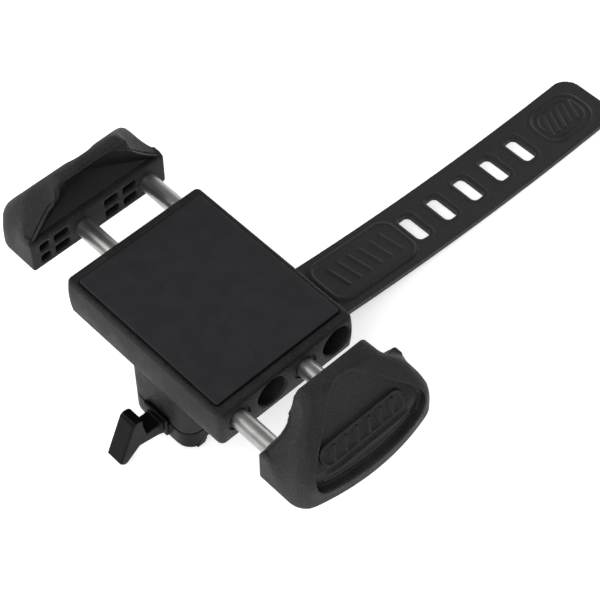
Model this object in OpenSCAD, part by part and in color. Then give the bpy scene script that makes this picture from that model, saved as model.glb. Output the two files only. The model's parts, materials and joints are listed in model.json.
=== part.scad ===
// Phone mount for a handlebar: two sprung jaws on steel rods slide out of a flat
// housing, which turns on a neck that a rubber strap ties to the bar.
// The origin is the middle of the bar's axis, X runs along the bar, and the strap leaves towards +Y.

/* [Bar] */
// Diameter of the handlebar that the saddle is moulded to
bar_d = 31.8; // [31.4:0.2:32.4]
// Thickness of the rubber saddle pad
saddle_pad_t = 2; // [1.6:0.2:2.4]

/* [Base and neck] */
// Width of the base along the bar
base_w = 22; // [21.6:0.2:24]
// Length of the base across the bar
base_l = 36; // [35.6:0.2:37]
// Height of the base's lower edge above the bar's axis
base_bottom = 9.2; // [9:0.1:9.3]
// Height of the seam between the base and the neck
seam_z = 15.3; // [15:0.1:15.6]
// Wall thickness of the neck
neck_wall = 2.2; // [2:0.1:2.4]

/* [Head] */
// Length of the housing along the rods
head_l = 54.4; // [54:0.2:56]
// Width of the housing across the rods
head_w = 41.6; // [41.4:0.2:44]
// Height of the housing
head_h = 12; // [11.8:0.1:13]
// Height of the housing's underside above the bar's axis
head_bottom = 34; // [33.8:0.1:36]
// How far the middle of each side face stands proud of its edges
side_bulge = 0.5; // [0.3:0.1:0.6]
// Length of the phone pad along the rods
pad_l = 48.8; // [46:0.2:50]
// Width of the phone pad
pad_w = 38.6; // [36:0.2:39]

/* [Rods and channels] */
// Diameter of each guide rod
rod_d = 5; // [4.8:0.1:5.2]
// Radial running clearance of a rod in its guide hole
rod_clearance = 0.05; // [0.02:0.01:0.08]
// Diameter of each channel that holds a spring
channel_d = 8.6; // [8.4:0.1:8.8]
// Distance between neighbouring channels
channel_pitch = 10.3; // [10.2:0.1:10.4]
// Thickness of the wall that guides a rod
guide_wall = 3.2; // [2.8:0.2:4]

/* [Jaws] */
// Gap between the housing and each jaw at rest
jaw_gap = 13; // [12.6:0.2:15]
// Half length of a jaw across the rods
jaw_half = 21.2; // [21:0.1:22]
// Depth of a jaw along the rods
jaw_depth = 17.2; // [17:0.1:18]
// Radius of the bowed outer face, seen from above
jaw_bow_r = 64; // [55:1:75]
// Radius of the pocket that takes the phone's edge
pocket_r = 7; // [6.8:0.1:7.2]
// Thickness of the rubber liner in the pocket
liner_t = 1.2; // [1:0.1:1.4]

/* [Strap] */
// Width of the rubber strap
strap_w = 19.2; // [19:0.1:19.2]
// Thickness of the rubber strap
strap_t = 2.2; // [2:0.1:2.4]
// Distance from the bar's axis to the tip of the strap, along Y
strap_end = 141.5; // [140:0.5:146]
// Number of slots in the strap
slot_count = 5; // [3:1:5]
// Distance between the slots
slot_pitch = 10.4; // [10:0.1:11]

/* [Hidden] */

$fn = 64;
large_arc = 360;
eps = 0.01;

saddle_r = bar_d / 2;
base_r = 4.5;

head_top = head_bottom + head_h;
head_r = 2.5;
pad_t = 1;
pad_recess = 0.4;
pad_top = head_top - pad_recess + pad_t;
rod_z = head_top - 5.2;
outer_y = 1.5 * channel_pitch;
inner_y = 0.5 * channel_pitch;
guide_d = rod_d + 2 * rod_clearance;
channel_end = head_l / 2 + side_bulge - guide_wall;
bezel_d = 6.6;
bezel_depth = 0.5;

cover_l = 47;
cover_w = 35;
cover_t = 1.4;
cover_r = 2;
cover_gap = 0.1;
cover_screw_x = 19;
cover_screw_y = channel_pitch;
cover_shank_d = 2;
cover_shank_l = 3;
cover_head_d = 3.6;
cover_head_t = 1;

neck_top = head_bottom - 0.2;
neck_roof = 3;
stud_d = 12;
stud_clearance = 0.05;
friction_t = 0.7;
washer_d = 17;
washer_t = 1.2;
stud_end = neck_top - neck_roof - friction_t - 0.2;
pivot_shank_d = 4;
pivot_shank_top = head_bottom + 0.8;
pivot_head_d = 7;
pivot_head_t = 2.4;
stop_radius = 8.6;
stop_pin_r = 1;
stop_depth = 1.2;
stop_gap = 0.3;

spigot_gap = 0.1;
spigot_top = 21.6;
base_screw_y = 12.2;
boss_d = 6;
base_shank_d = 2.9;
base_head_d = 5.4;
base_head_t = 2;
base_head_bottom = 15.6;
base_screw_top = 27;

hook_half = 2.6;
flange_half = 4.3;
flange_t = 1.2;
flange_foot = 11;
flange_top = 17.4;
hook_outline = [
    [-17, 9.6], [-18, 9.9], [-21, 11.1], [-26.3, 12.4], [-30.6, 9.2],
    [-31.6, 9.3], [-32.7, 10.6], [-27.6, 21.9], [-26.9, 22.4], [-25.2, 22.3],
    [-24.4, 21.4], [-24.7, 20.3], [-23.9, 15.4], [-17, 15.3]
];

strap_pivot_y = 21.2;
strap_pivot_z = 14.2;
strap_pin_d = 3;
knuckle_d = 6;
knuckle_top = 20;
ear_t = 1.25;
ear_root = base_r + 1;
ear_reach = 3.2;
ear_step = 2;
ear_foot_h = 4;
strap_arc_r = 600;
strap_low_y = 115;
strap_low_z = 8.9;
strap_tip_r = 5;
slot_w = 9.2;
slot_l = 4.3;
slot_r = 1.4;
first_slot_y = 71;
plate_raise = 0.6;
plate_from = 37;
plate_to = 67;
plate_w = 15;
grip_y = 129;
grip_pitch = 2.2;
grip_ribs = 5;
grip_w = 9;
grip_rib_l = 1;
grip_rib_raise = 0.4;

jaw_x = head_l / 2 + jaw_gap;
jaw_bottom = -10;
ledge_z = -0.3;
pocket_x = -1.6;
pocket_z = 6.2;
pocket_top = 12.9;
liner_top = 12.3;
liner_inset = 0.6;
lip_inner = 0.6;
lip_top = 14.5;
pocket_end_r = 34;
shoulder_r = 15;
shoulder_y = 26.5;
shoulder_z = 14.8;
recess_depth = 1.2;
recess_rim = 3.4;
recess_top = 7;
plate_l = 28;
plate_h = 5.4;
plate_r = 2.4;
plate_z = -1.6;
plate_proud = 0.6;
rib_pocket_rows = [-7.3, -3.3];
rib_pocket_columns = [[17, 2.8], [11.8, 4.4], [-4, 4.2], [-9.8, 4.2]];
rib_pocket_h = 2.4;
rib_pocket_depth = 3;
rod_grip = 12;
jaw_corner_r = 3;
jaw_foot = 1.4;
slope_low_z = -3.3;
slope_top_z = 11.1;
slope_top_x = 6.4;
slope_shift = norm([1, (jaw_depth - slope_top_x) / (slope_top_z - slope_low_z)]);
jaw_profile = [
    [0, jaw_bottom], [jaw_depth - jaw_foot, jaw_bottom], [jaw_depth, jaw_bottom + jaw_foot],
    [jaw_depth, slope_low_z], [slope_top_x, slope_top_z], [4.3, 13.7], [2.6, lip_top],
    [1.2, 14.1], [lip_inner, 13], [lip_inner, pocket_z], [0, ledge_z]
];

stop_x = -11;
stop_washer_d = 8.2;
stop_washer_t = 1.2;
end_screw_d = 3;
end_screw_l = 8;
end_head_d = 5.4;
end_head_t = 1.8;

spring_turns = 9;
spring_steps = 10;
spring_sides = 5;
wire_r = 0.4;
coil_r = 3.5;
spring_clearance = 0.1;

// ---- shared shapes ----

// Flat rectangle with round corners, centred on the origin.
module round_rect(l, w, r) {
    square([l - 2 * r, w], center = true);
    square([l, w - 2 * r], center = true);
    for (sx = [-1, 1], sy = [-1, 1]) {
        translate([sx * (l / 2 - r), sy * (w / 2 - r)])
            circle(r);
    }
}

// Outline drawn in Y and Z, extruded along X and centred on X = 0.
module along_x(l) {
    rotate([90, 0, 90])
        linear_extrude(l, center = true)
            children();
}

// Outline drawn in X and Z, extruded along Y and centred on Y = 0.
module along_y(l) {
    rotate([90, 0, 0])
        linear_extrude(l, center = true)
            children();
}

// Round bar along X from x0 to x1.
module bar_x(d, x0, x1, y, z) {
    translate([x0, y, z])
        rotate([0, 90, 0])
            cylinder(d = d, h = x1 - x0);
}

// Headed screw pointing up, with the underside of its head at the origin.
module screw_up(head_d, head_t, shank_d, shank_l) {
    translate([0, 0, -head_t])
        cylinder(d = head_d, h = head_t);
    translate([0, 0, -eps])
        cylinder(d = shank_d, h = shank_l + eps);
}

// ---- head ----

// Block whose four sides bow outwards a little at mid height.
module bowed_block() {
    half_h = head_h / 2;
    bow_r = (half_h * half_h + side_bulge * side_bulge) / (2 * side_bulge);
    full_l = head_l + 2 * side_bulge;
    full_w = head_w + 2 * side_bulge;
    intersection() {
        translate([0, 0, head_bottom])
            linear_extrude(head_h)
                round_rect(full_l, full_w, head_r);
        along_x(full_l + 2) {
            intersection() {
                translate([full_w / 2 - bow_r, head_bottom + half_h])
                    circle(bow_r, $fn = large_arc);
                translate([bow_r - full_w / 2, head_bottom + half_h])
                    circle(bow_r, $fn = large_arc);
            }
        }
        along_y(full_w + 2) {
            intersection() {
                translate([full_l / 2 - bow_r, head_bottom + half_h])
                    circle(bow_r, $fn = large_arc);
                translate([bow_r - full_l / 2, head_bottom + half_h])
                    circle(bow_r, $fn = large_arc);
            }
        }
    }
}

// Channel, guide hole and shallow ring for one rod that leaves towards +X.
module rod_channel(y) {
    face = head_l / 2 + side_bulge;
    bar_x(channel_d, -face - 1, channel_end, y, rod_z);
    bar_x(guide_d, channel_end - 1, face + 1, y, rod_z);
    bar_x(bezel_d, face - bezel_depth, face + 1, y, rod_z);
}

// Both channels of one jaw.
module jaw_channels() {
    rod_channel(-outer_y);
    rod_channel(inner_y);
}

module at_cover_screws() {
    for (sx = [-1, 1], sy = [-1, 1]) {
        translate([sx * cover_screw_x, sy * cover_screw_y, head_bottom])
            children();
    }
}

module housing() {
    color("#2b2b2d")
        difference() {
            bowed_block();
            jaw_channels();
            rotate([0, 0, 180])
                jaw_channels();
            translate([0, 0, head_top - pad_recess])
                linear_extrude(pad_recess + 1)
                    round_rect(pad_l + 0.4, pad_w + 0.4, 1.4);
            translate([0, 0, head_bottom - 1])
                linear_extrude(cover_t + 1)
                    round_rect(cover_l, cover_w, cover_r);
            at_cover_screws()
                cylinder(d = cover_shank_d, h = cover_head_t + cover_shank_l + 0.3);
        }
}

module bottom_cover() {
    color("#242426")
        difference() {
            union() {
                translate([0, 0, head_bottom])
                    linear_extrude(cover_t)
                        round_rect(cover_l - 2 * cover_gap, cover_w - 2 * cover_gap, cover_r);
                translate([0, 0, stud_end])
                    cylinder(d = stud_d, h = head_bottom - stud_end + eps);
                translate([0, stop_radius, neck_top - stop_depth + stop_gap])
                    cylinder(r = stop_pin_r, h = head_bottom - neck_top + stop_depth - stop_gap + eps);
            }
            translate([0, 0, stud_end - 1])
                cylinder(d = pivot_shank_d, h = pivot_shank_top - stud_end + 1.2);
            at_cover_screws() {
                translate([0, 0, -1])
                    cylinder(d = cover_shank_d + 0.2, h = cover_t + 2);
                translate([0, 0, -1])
                    cylinder(d = cover_head_d + 0.2, h = cover_head_t + 1);
            }
        }
}

module phone_pad() {
    color("#17171b")
        translate([0, 0, pad_top - pad_t])
            linear_extrude(pad_t)
                round_rect(pad_l, pad_w, 1.2);
}

module cover_screws() {
    color("#8a8d90")
        at_cover_screws() {
            translate([0, 0, cover_head_t])
                screw_up(cover_head_d, cover_head_t - 0.1, cover_shank_d - 0.04, cover_shank_l);
        }
}

module pivot_screw() {
    color("#9a9da0")
        translate([0, 0, stud_end - washer_t])
            screw_up(pivot_head_d, pivot_head_t, pivot_shank_d - 0.06, pivot_shank_top - stud_end + washer_t);
}

module pivot_washer() {
    color("#a8abae")
        translate([0, 0, stud_end - washer_t])
            difference() {
                cylinder(d = washer_d, h = washer_t);
                translate([0, 0, -1])
                    cylinder(d = pivot_shank_d + 0.2, h = washer_t + 2);
            }
}

module friction_washer() {
    color("#d8d4c8")
        translate([0, 0, stud_end + 0.1])
            difference() {
                cylinder(d = washer_d, h = friction_t);
                translate([0, 0, -1])
                    cylinder(d = stud_d + 0.4, h = friction_t + 2);
            }
}

// ---- base ----

// Arc groove on the neck's top that lets the head turn a quarter turn each way.
module stop_groove() {
    sweep = 90 + asin((stop_pin_r + stop_gap) / stop_radius);
    groove_w = 2 * (stop_pin_r + stop_gap);
    translate([0, 0, neck_top - stop_depth])
        rotate([0, 0, 90 - sweep])
            rotate_extrude(angle = 2 * sweep)
                translate([stop_radius - groove_w / 2, 0])
                    square([groove_w, stop_depth + 1]);
}

module at_base_screws() {
    for (sy = [-1, 1]) {
        translate([0, sy * base_screw_y, 0])
            children();
    }
}

module neck() {
    roof_z = neck_top - neck_roof;
    color("#2b2b2d")
        difference() {
            union() {
                difference() {
                    translate([0, 0, seam_z])
                        linear_extrude(neck_top - seam_z)
                            round_rect(base_w, base_l, base_r);
                    translate([0, 0, seam_z - 1])
                        linear_extrude(roof_z - seam_z + 1)
                            round_rect(base_w - 2 * neck_wall, base_l - 2 * neck_wall, base_r - neck_wall);
                }
                at_base_screws()
                    translate([0, 0, spigot_top + 0.1])
                        cylinder(d = boss_d, h = roof_z - spigot_top);
            }
            translate([0, 0, roof_z - 1])
                cylinder(d = stud_d + 2 * stud_clearance, h = neck_roof + 2);
            at_base_screws()
                translate([0, 0, spigot_top - 1])
                    cylinder(d = base_shank_d + 0.1, h = base_screw_top - spigot_top + 1.2);
            stop_groove();
            along_x(base_w + 2)
                circle(saddle_r + saddle_pad_t, $fn = large_arc);
        }
}

// Two ears that hold the strap's pin behind the base.
module strap_ears() {
    for (sx = [-1, 1]) {
        translate([sx * (base_w - ear_t) / 2, 0, 0])
            along_x(ear_t) {
                translate([base_l / 2 - ear_root, base_bottom])
                    square([ear_root + ear_reach, ear_foot_h]);
                translate([strap_pivot_y, strap_pivot_z])
                    circle(d = knuckle_d + 0.4);
                translate([base_l / 2 - ear_root, base_bottom + ear_step])
                    square([ear_root + ear_reach, seam_z - base_bottom - ear_step]);
            }
    }
}

// Cleat that the strap's slots drop over.
module hook() {
    along_x(2 * hook_half)
        polygon(hook_outline);
    translate([-flange_half, -base_l / 2 - flange_t - spigot_gap, flange_foot])
        cube([2 * flange_half, flange_t, flange_top - flange_foot]);
    translate([-flange_half, -base_l / 2 - flange_t, flange_foot])
        cube([2 * flange_half, flange_t + 1, seam_z - flange_foot]);
}

module bar_base() {
    color("#262725")
        difference() {
            union() {
                translate([0, 0, base_bottom])
                    linear_extrude(seam_z - base_bottom)
                        round_rect(base_w, base_l, base_r);
                translate([0, 0, seam_z - eps])
                    linear_extrude(spigot_top - seam_z)
                        round_rect(
                            base_w - 2 * neck_wall - 2 * spigot_gap,
                            base_l - 2 * neck_wall - 2 * spigot_gap,
                            base_r - neck_wall
                        );
                strap_ears();
                hook();
            }
            along_x(base_w + 2)
                circle(saddle_r + saddle_pad_t, $fn = large_arc);
            at_base_screws() {
                translate([0, 0, base_bottom])
                    cylinder(d = base_head_d + 0.3, h = base_head_bottom + base_head_t - base_bottom);
                translate([0, 0, base_bottom])
                    cylinder(d = base_shank_d + 0.3, h = spigot_top);
            }
            bar_x(strap_pin_d + 0.02, -base_w, base_w, strap_pivot_y, strap_pivot_z);
        }
}

module saddle_pad() {
    color("#1c1c1e")
        intersection() {
            along_x(base_w)
                difference() {
                    circle(saddle_r + saddle_pad_t - 0.02, $fn = large_arc);
                    circle(saddle_r, $fn = large_arc);
                }
            translate([-base_w, -base_l / 2, base_bottom])
                cube([2 * base_w, base_l, spigot_top]);
        }
}

module base_screws() {
    shank_l = base_screw_top - base_head_bottom - base_head_t;
    color("#8a8d90")
        at_base_screws()
            translate([0, 0, base_head_bottom + base_head_t])
                screw_up(base_head_d, base_head_t, base_shank_d, shank_l);
}

module strap_pin() {
    color("#9a9da0")
        bar_x(strap_pin_d, -base_w / 2, base_w / 2, strap_pivot_y, strap_pivot_z);
}

// ---- strap ----

// Band between two heights above the strap's middle surface, cut to an outline
// that is drawn from above.
module strap_band(low, high) {
    centre_z = strap_low_z + strap_arc_r;
    intersection() {
        along_x(strap_w + 2)
            difference() {
                translate([strap_low_y, centre_z])
                    circle(strap_arc_r - low, $fn = 4 * large_arc);
                translate([strap_low_y, centre_z])
                    circle(strap_arc_r - high, $fn = 4 * large_arc);
            }
        linear_extrude(knuckle_top)
            children();
    }
}

// Outline from y0 to y1, as seen from above.
module strap_area(y0, y1, w, r) {
    translate([0, (y0 + y1) / 2])
        round_rect(w, y1 - y0, r);
}

module strap() {
    half_t = strap_t / 2;
    knuckle_w = base_w - 2 * ear_t - 0.3;
    color("#1d1d1f")
        difference() {
            union() {
                strap_band(-half_t, half_t)
                    intersection() {
                        strap_area(0, strap_end, strap_w, strap_tip_r);
                        translate([-strap_w, strap_pivot_y])
                            square([2 * strap_w, strap_end]);
                    }
                bar_x(knuckle_d, -knuckle_w / 2, knuckle_w / 2, strap_pivot_y, strap_pivot_z);
                strap_band(0, half_t + plate_raise)
                    strap_area(plate_from, plate_to, plate_w, 4);
                for (i = [0 : grip_ribs - 1]) {
                    y = grip_y + (i - (grip_ribs - 1) / 2) * grip_pitch;
                    strap_band(0, half_t + grip_rib_raise)
                        translate([0, y])
                            square([grip_w, grip_rib_l], center = true);
                }
            }
            bar_x(strap_pin_d + 0.1, -base_w, base_w, strap_pivot_y, strap_pivot_z);
            for (i = [0 : slot_count - 1]) {
                translate([0, first_slot_y + i * slot_pitch, 0])
                    linear_extrude(knuckle_top)
                        round_rect(slot_w, slot_l, slot_r);
            }
        }
}

// ---- jaws: drawn for +X, with X = 0 on the inner face and Z = 0 at the pad's top ----

// Outline across the jaw: a wide base whose shoulders sweep in to a narrow lip.
module jaw_front(inset) {
    difference() {
        translate([-jaw_half + inset, jaw_bottom + inset])
            square([2 * (jaw_half - inset), lip_top - jaw_bottom - 2 * inset]);
        for (sy = [-1, 1]) {
            translate([sy * shoulder_y, shoulder_z])
                circle(shoulder_r + inset, $fn = large_arc / 2);
        }
    }
}

// Outline from above: a rounded block with a bowed outer face.
module jaw_plan(inset) {
    intersection() {
        translate([jaw_depth / 2 - inset - jaw_corner_r / 2, 0])
            round_rect(jaw_depth + jaw_corner_r, 2 * jaw_half, jaw_corner_r);
        translate([jaw_depth - jaw_bow_r - inset, 0])
            circle(jaw_bow_r, $fn = large_arc);
    }
}

// Jaw before its pockets, with its outer side moved in by inset.
module jaw_blank(inset) {
    intersection() {
        along_y(2 * jaw_half + 2)
            translate([-inset * slope_shift, 0])
                polygon(jaw_profile);
        translate([0, 0, jaw_bottom])
            linear_extrude(lip_top - jaw_bottom)
                jaw_plan(inset);
    }
}

// Cored-out pockets in the inner face, in two rows.
module rib_pockets() {
    for (z = rib_pocket_rows) {
        for (column = rib_pocket_columns) {
            translate([-1, column[0] - column[1] / 2, z - rib_pocket_h / 2])
                cube([rib_pocket_depth + 1, column[1], rib_pocket_h]);
        }
    }
}

// Part of the pocket's cylinder that lies above the ledge. A second, upright
// cylinder makes the pocket shallower towards its two ends.
module pocket_form(r) {
    deepest = pocket_x + pocket_r + liner_t;
    intersection() {
        translate([pocket_x, 0, pocket_z])
            rotate([90, 0, 0])
                cylinder(r = r, h = 2 * jaw_half + 2, center = true);
        translate([deepest - pocket_end_r, 0, jaw_bottom])
            cylinder(r = pocket_end_r - pocket_r - liner_t + r, h = lip_top - jaw_bottom, $fn = large_arc);
        translate([-jaw_depth, -jaw_half - 1, ledge_z])
            cube([2 * jaw_depth, 2 * jaw_half + 2, pocket_top - ledge_z]);
    }
}

// Scooped area of the outer face.
module recess_outline() {
    intersection() {
        jaw_front(recess_rim);
        translate([-jaw_half, jaw_bottom])
            square([2 * jaw_half, recess_top - jaw_bottom]);
    }
}

module jaw_body() {
    difference() {
        intersection() {
            jaw_blank(0);
            along_x(3 * jaw_depth)
                jaw_front(0);
        }
        difference() {
            translate([jaw_depth, 0, 0])
                along_x(2 * jaw_depth)
                    recess_outline();
            jaw_blank(recess_depth);
            intersection() {
                jaw_blank(recess_depth - plate_proud);
                translate([jaw_depth, 0, plate_z])
                    along_x(2 * jaw_depth)
                        round_rect(plate_l, plate_h, plate_r);
            }
        }
        pocket_form(pocket_r + liner_t);
        rib_pockets();
        for (y = [-outer_y, inner_y]) {
            bar_x(rod_d + 0.04, -1, rod_grip, y, rod_z - pad_top);
        }
    }
}

module jaw_liner() {
    difference() {
        intersection() {
            pocket_form(pocket_r + liner_t - 0.02);
            along_x(3 * jaw_depth)
                jaw_front(liner_inset);
            translate([lip_inner, -jaw_half, ledge_z])
                cube([jaw_depth, 2 * jaw_half, liner_top - ledge_z]);
        }
        pocket_form(pocket_r);
    }
}

// Moves a jaw's pieces to their place on the +X side.
module at_jaw() {
    translate([jaw_x, 0, pad_top])
        children();
}

// Turns a piece of the right jaw into its twin on the left.
module left_side() {
    rotate([0, 0, 180])
        children();
}

module rod(y) {
    color("#c3c6c8")
        difference() {
            bar_x(rod_d, stop_x, jaw_x + rod_grip - 0.1, y, rod_z);
            bar_x(end_screw_d, stop_x - 1, stop_x + end_screw_l + 0.2, y, rod_z);
        }
}

module stop_washers() {
    color("#a8abae")
        for (y = [-outer_y, inner_y]) {
            difference() {
                bar_x(stop_washer_d, stop_x - stop_washer_t, stop_x, y, rod_z);
                bar_x(end_screw_d + 0.2, stop_x - stop_washer_t - 1, stop_x + 1, y, rod_z);
            }
        }
}

module end_screws() {
    color("#8a8d90")
        for (y = [-outer_y, inner_y]) {
            translate([stop_x - stop_washer_t, y, rod_z])
                rotate([0, 90, 0])
                    screw_up(end_head_d, end_head_t, end_screw_d - 0.04, end_screw_l + stop_washer_t - 0.3);
        }
}

// Point on the wire's surface, for a step along the coil and a corner of its section.
function coil_point(step, corner, length) =
    let (
        turn = 360 * step / spring_steps,
        around = 360 * corner / spring_sides,
        reach = coil_r + wire_r * cos(around),
        along = wire_r + (length - 2 * wire_r) * step / (spring_steps * spring_turns)
    )
    [along + wire_r * sin(around), reach * cos(turn), reach * sin(turn)];

// Compression spring along X, from the origin.
module spring(length) {
    steps = spring_turns * spring_steps;
    n = spring_sides;
    points = [
        for (i = [0 : steps])
            for (k = [0 : n - 1])
                coil_point(i, k, length)
    ];
    sides = [
        for (i = [0 : steps - 1])
            for (k = [0 : n - 1])
                for (half = [0, 1])
                    let (a = i * n + k, b = i * n + (k + 1) % n)
                    half == 0 ? [a, b, a + n] : [b, b + n, a + n]
    ];
    caps = [
        [for (k = [n - 1 : -1 : 0]) k],
        [for (k = [0 : n - 1]) steps * n + k]
    ];
    polyhedron(points, concat(sides, caps));
}

module rod_spring(y) {
    color("#b5b8ba")
        translate([stop_x + spring_clearance, y, rod_z])
            spring(channel_end - stop_x - 2 * spring_clearance);
}

module right_jaw_body() {
    color("#29292b")
        at_jaw()
            jaw_body();
}

module right_jaw_liner() {
    color("#1a1a1c")
        at_jaw()
            jaw_liner();
}

module left_jaw_body() {
    left_side()
        right_jaw_body();
}

module left_jaw_liner() {
    left_side()
        right_jaw_liner();
}

housing();
bottom_cover();
phone_pad();
cover_screws();
pivot_screw();
pivot_washer();
friction_washer();
neck();
bar_base();
saddle_pad();
base_screws();
strap_pin();
strap();
right_jaw_body();
right_jaw_liner();
rod(-outer_y);  // right_rod_outer
rod(inner_y);  // right_rod_inner
stop_washers();  // right_stop_washers
end_screws();  // right_end_screws
rod_spring(-outer_y);  // right_spring_outer
rod_spring(inner_y);  // right_spring_inner
left_jaw_body();
left_jaw_liner();
left_side() rod(-outer_y);  // left_rod_outer
left_side() rod(inner_y);  // left_rod_inner
left_side() stop_washers();  // left_stop_washers
left_side() end_screws();  // left_end_screws
left_side() rod_spring(-outer_y);  // left_spring_outer
left_side() rod_spring(inner_y);  // left_spring_inner
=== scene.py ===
# %% [markdown]
# Phone mount for a handlebar, dressed for the studio.
#
# The mount is a flat housing with a rubber phone pad on top. Two hooked jaws slide out of
# it on bright steel rods, and springs inside pull them back onto the phone. Below the
# housing a neck stands on a saddle, and a rubber strap ties the saddle to the bar.
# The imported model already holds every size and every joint. This script only adds the
# looks, so each step reads its places from that model and never moves it.

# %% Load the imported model
import json
import math

import bmesh
import bpy
from mathutils import Matrix, Vector
from mathutils.geometry import interpolate_bezier


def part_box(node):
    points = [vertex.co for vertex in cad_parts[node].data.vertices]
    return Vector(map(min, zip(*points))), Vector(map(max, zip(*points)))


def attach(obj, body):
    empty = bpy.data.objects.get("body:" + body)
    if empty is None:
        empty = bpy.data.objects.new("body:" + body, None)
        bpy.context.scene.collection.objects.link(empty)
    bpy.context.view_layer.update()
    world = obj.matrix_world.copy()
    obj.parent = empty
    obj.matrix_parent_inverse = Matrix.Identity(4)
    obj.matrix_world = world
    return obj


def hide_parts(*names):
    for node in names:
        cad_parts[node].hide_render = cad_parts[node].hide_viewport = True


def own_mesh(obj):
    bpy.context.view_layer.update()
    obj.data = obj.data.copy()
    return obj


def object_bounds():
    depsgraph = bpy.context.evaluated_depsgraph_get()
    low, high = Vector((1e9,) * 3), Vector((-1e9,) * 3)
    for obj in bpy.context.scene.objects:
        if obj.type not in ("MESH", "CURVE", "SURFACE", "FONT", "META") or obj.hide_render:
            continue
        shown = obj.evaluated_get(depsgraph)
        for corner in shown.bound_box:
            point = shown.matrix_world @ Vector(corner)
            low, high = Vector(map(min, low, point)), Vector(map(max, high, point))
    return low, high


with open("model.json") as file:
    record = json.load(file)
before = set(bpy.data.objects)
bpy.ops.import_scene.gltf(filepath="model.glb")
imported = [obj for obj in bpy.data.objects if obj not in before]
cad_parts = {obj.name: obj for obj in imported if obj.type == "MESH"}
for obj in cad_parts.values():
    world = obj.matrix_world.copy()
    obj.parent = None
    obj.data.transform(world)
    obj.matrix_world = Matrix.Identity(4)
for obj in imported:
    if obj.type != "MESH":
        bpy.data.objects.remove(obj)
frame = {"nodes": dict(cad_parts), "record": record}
cad_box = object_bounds()
MM = 0.001


def box_mm(node):
    """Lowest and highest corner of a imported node, in millimetres."""
    low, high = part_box(node)
    return low / MM, high / MM


head_low, head_high = box_mm("housing")
pad_low, pad_high = box_mm("phone_pad")
jaw_low, jaw_high = box_mm("right_jaw_body")
print("nodes in the frame:", len(frame["nodes"]))
print("housing in mm:", [round(v, 1) for v in head_high - head_low])

# %% [markdown]
# A camera could be placed by hand and turned until it looks right. Here it is aimed by three
# angles and a distance, so each of them can be changed alone. The mount is seen from high
# above and from its front right corner, with a long lens, so its parallel edges stay nearly
# parallel.

# %% Camera
LOOK_AT = Vector((15.5, 15.0, 45.8)) * MM
DISTANCE = 452.9 * MM
AZIMUTH = math.radians(46.84)
ELEVATION = math.radians(53.12)
ROLL = math.radians(-0.43)
LENS = 115.84

back = Vector((
    math.sin(AZIMUTH) * math.cos(ELEVATION),
    -math.cos(AZIMUTH) * math.cos(ELEVATION),
    math.sin(ELEVATION),
))
camera_data = bpy.data.cameras.new("studio_camera")
camera_data.lens = LENS
camera_data.sensor_width = 36
camera_data.clip_start = 0.01
camera = bpy.data.objects.new("studio_camera", camera_data)
bpy.context.scene.collection.objects.link(camera)
aim = back.to_track_quat("Z", "Y").to_matrix().to_4x4()
stand = Matrix.Translation(LOOK_AT + back * DISTANCE)
camera.matrix_world = stand @ aim @ Matrix.Rotation(ROLL, 4, "Z")
bpy.context.scene.camera = camera
print("camera stands", round(DISTANCE, 3), "m from the head")

# %% [markdown]
# Dark plastic shows its shape only through what it reflects. The mount lies on a lit white
# table, so its upright faces mirror the pale table and the faces that look up mirror a
# dimmer room. The panels stand on the camera's side and at the left, away from where the
# flat pad would throw them back as glare.

# %% Lights
def soft_light(name, place, size, power):
    """Square area light at a place in mm from the head, aimed at the head."""
    data = bpy.data.lights.new(name, "AREA")
    data.shape = "SQUARE"
    data.size = size
    data.energy = power
    lamp = bpy.data.objects.new(name, data)
    bpy.context.scene.collection.objects.link(lamp)
    lamp.location = LOOK_AT + Vector(place) * MM
    lamp.rotation_euler = (lamp.location - LOOK_AT).to_track_quat("Z", "Y").to_euler()
    return lamp


soft_light("key_panel", (420, -520, 720), 0.8, 6.0)
soft_light("left_panel", (-620, -420, 480), 0.6, 3.5)
soft_light("back_panel", (-160, 760, 260), 0.5, 2.0)

world = bpy.data.worlds.new("studio_room")
bpy.context.scene.world = world
world.use_nodes = True
world.node_tree.nodes["Background"].inputs["Color"].default_value = (1, 1, 1, 1)
world.node_tree.nodes["Background"].inputs["Strength"].default_value = 0.3
bpy.context.scene.view_settings.view_transform = "Standard"

# %% [markdown]
# Many finishes here share four effects: the fine grain that spark erosion leaves in a
# mould, the rubbed and slightly paler edges of a handled part, a little dust, and painted
# shade that darkens the colour in bores, grooves and corners. Each is a node group, built once,
# and each material places it with its own values.

# %% A small helper for wiring nodes
class Wiring:
    """Adds nodes to one tree and links them by socket name."""

    def __init__(self, tree):
        self.tree = tree

    def add(self, kind, links=None, **settings):
        node = self.tree.nodes.new(kind)
        values = settings.pop("values", {})
        for key, value in settings.items():
            setattr(node, key, value)
        for key, value in values.items():
            node.inputs[key].default_value = value
        for key, source in (links or {}).items():
            self.tree.links.new(source, node.inputs[key])
        return node

    def multiply(self, first, second):
        """Product of a socket with another socket or with a plain number."""
        node = self.add("ShaderNodeMath", {0: first}, operation="MULTIPLY")
        if isinstance(second, (int, float)):
            node.inputs[1].default_value = second
        else:
            self.tree.links.new(second, node.inputs[1])
        return node.outputs[0]

    def spread(self, source, low, high, to_low=0.0, to_high=1.0):
        """Maps the values from low to high onto those from to_low to to_high."""
        limits = {"From Min": low, "From Max": high, "To Min": to_low, "To Max": to_high}
        return self.add("ShaderNodeMapRange", {"Value": source}, values=limits).outputs[0]

    def place(self):
        """Place on the piece itself, in metres."""
        return self.add("ShaderNodeTexCoord").outputs["Object"]


def outputs_of(tree):
    """Names of what a node group puts out."""
    return [item.name for item in tree.interface.items_tree if item.in_out == "OUTPUT"]


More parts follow.
